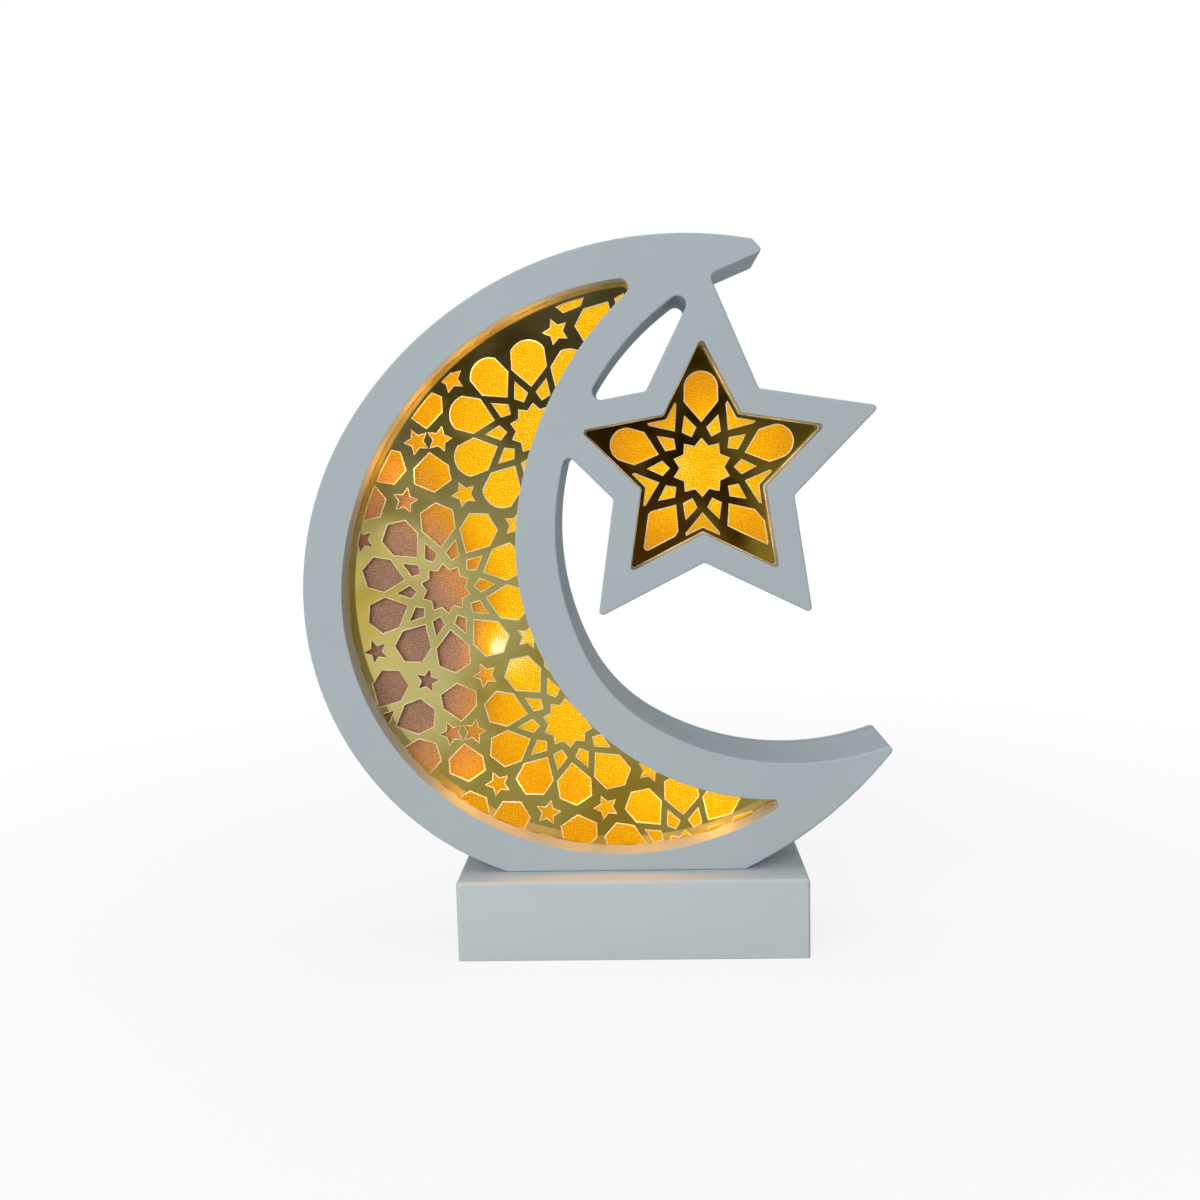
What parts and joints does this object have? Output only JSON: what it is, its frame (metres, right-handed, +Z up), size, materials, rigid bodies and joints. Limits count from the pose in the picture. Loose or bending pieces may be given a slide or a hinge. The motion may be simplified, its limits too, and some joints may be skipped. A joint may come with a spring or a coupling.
{
  "type": "crescent ornament lamp",
  "caption": "Table lamp shaped as a crescent holding a star, with gold mirror lattices lit from behind, on a box base with a sliding battery door.",
  "frame": {"origin": "middle of the base's underside, on the table", "axes": "+Z up, -Y towards the viewer and the lattice side, +X to the viewer's right"},
  "size_m": [0.1577, 0.0432, 0.1914],
  "materials": {
    "white_plastic": "satin moulded",
    "gold_mirror": "gold mirror sheet",
    "warm_diffuser": "textured translucent",
    "board": "white solder mask",
    "led": "warm white phosphor",
    "resistor_body": "chip resistor",
    "screw_steel": "zinc plated",
    "cell_jacket": "plain jacket",
    "contact_metal": "nickel plated",
    "switch_plastic": "fine grain",
    "red_wire": "smooth insulation",
    "black_wire": "smooth insulation"
  },
  "bodies": {
    "lamp": {"front_shell": "white_plastic", "rear_cover": "white_plastic", "rear_cover_screws": "screw_steel", "moon_lattice": "gold_mirror", "star_lattice": "gold_mirror", "moon_diffuser": "warm_diffuser", "star_diffuser": "warm_diffuser", "moon_led_board": "board", "moon_leds": "led", "star_led_board": "board", "star_leds": "led", "resistor": "resistor_body", "base_housing": "white_plastic", "base_plate": "white_plastic", "base_plate_screws": "screw_steel", "foot_screws": "screw_steel", "battery_cell_a": "cell_jacket", "battery_cell_b": "cell_jacket", "negative_contact": "contact_metal", "positive_contact": "contact_metal", "link_contact": "contact_metal", "switch_body": "switch_plastic", "supply_wire": "red_wire", "feed_wire": "red_wire", "return_wire": "black_wire", "star_feed_wire": "red_wire", "star_return_wire": "black_wire"},
    "battery_door": {"battery_door": "white_plastic"},
    "switch_slider": {"switch_slider": "switch_plastic"}
  },
  "joints": [
    {"name": "battery_door_slide", "type": "slide", "parent": "lamp", "child": "battery_door", "axis": [1, 0, 0], "range_m": [0, 0.058]},
    {"name": "switch_slide", "type": "slide", "parent": "lamp", "child": "switch_slider", "axis": [1, 0, 0], "range_m": [0, 0.0035]}
  ]
}
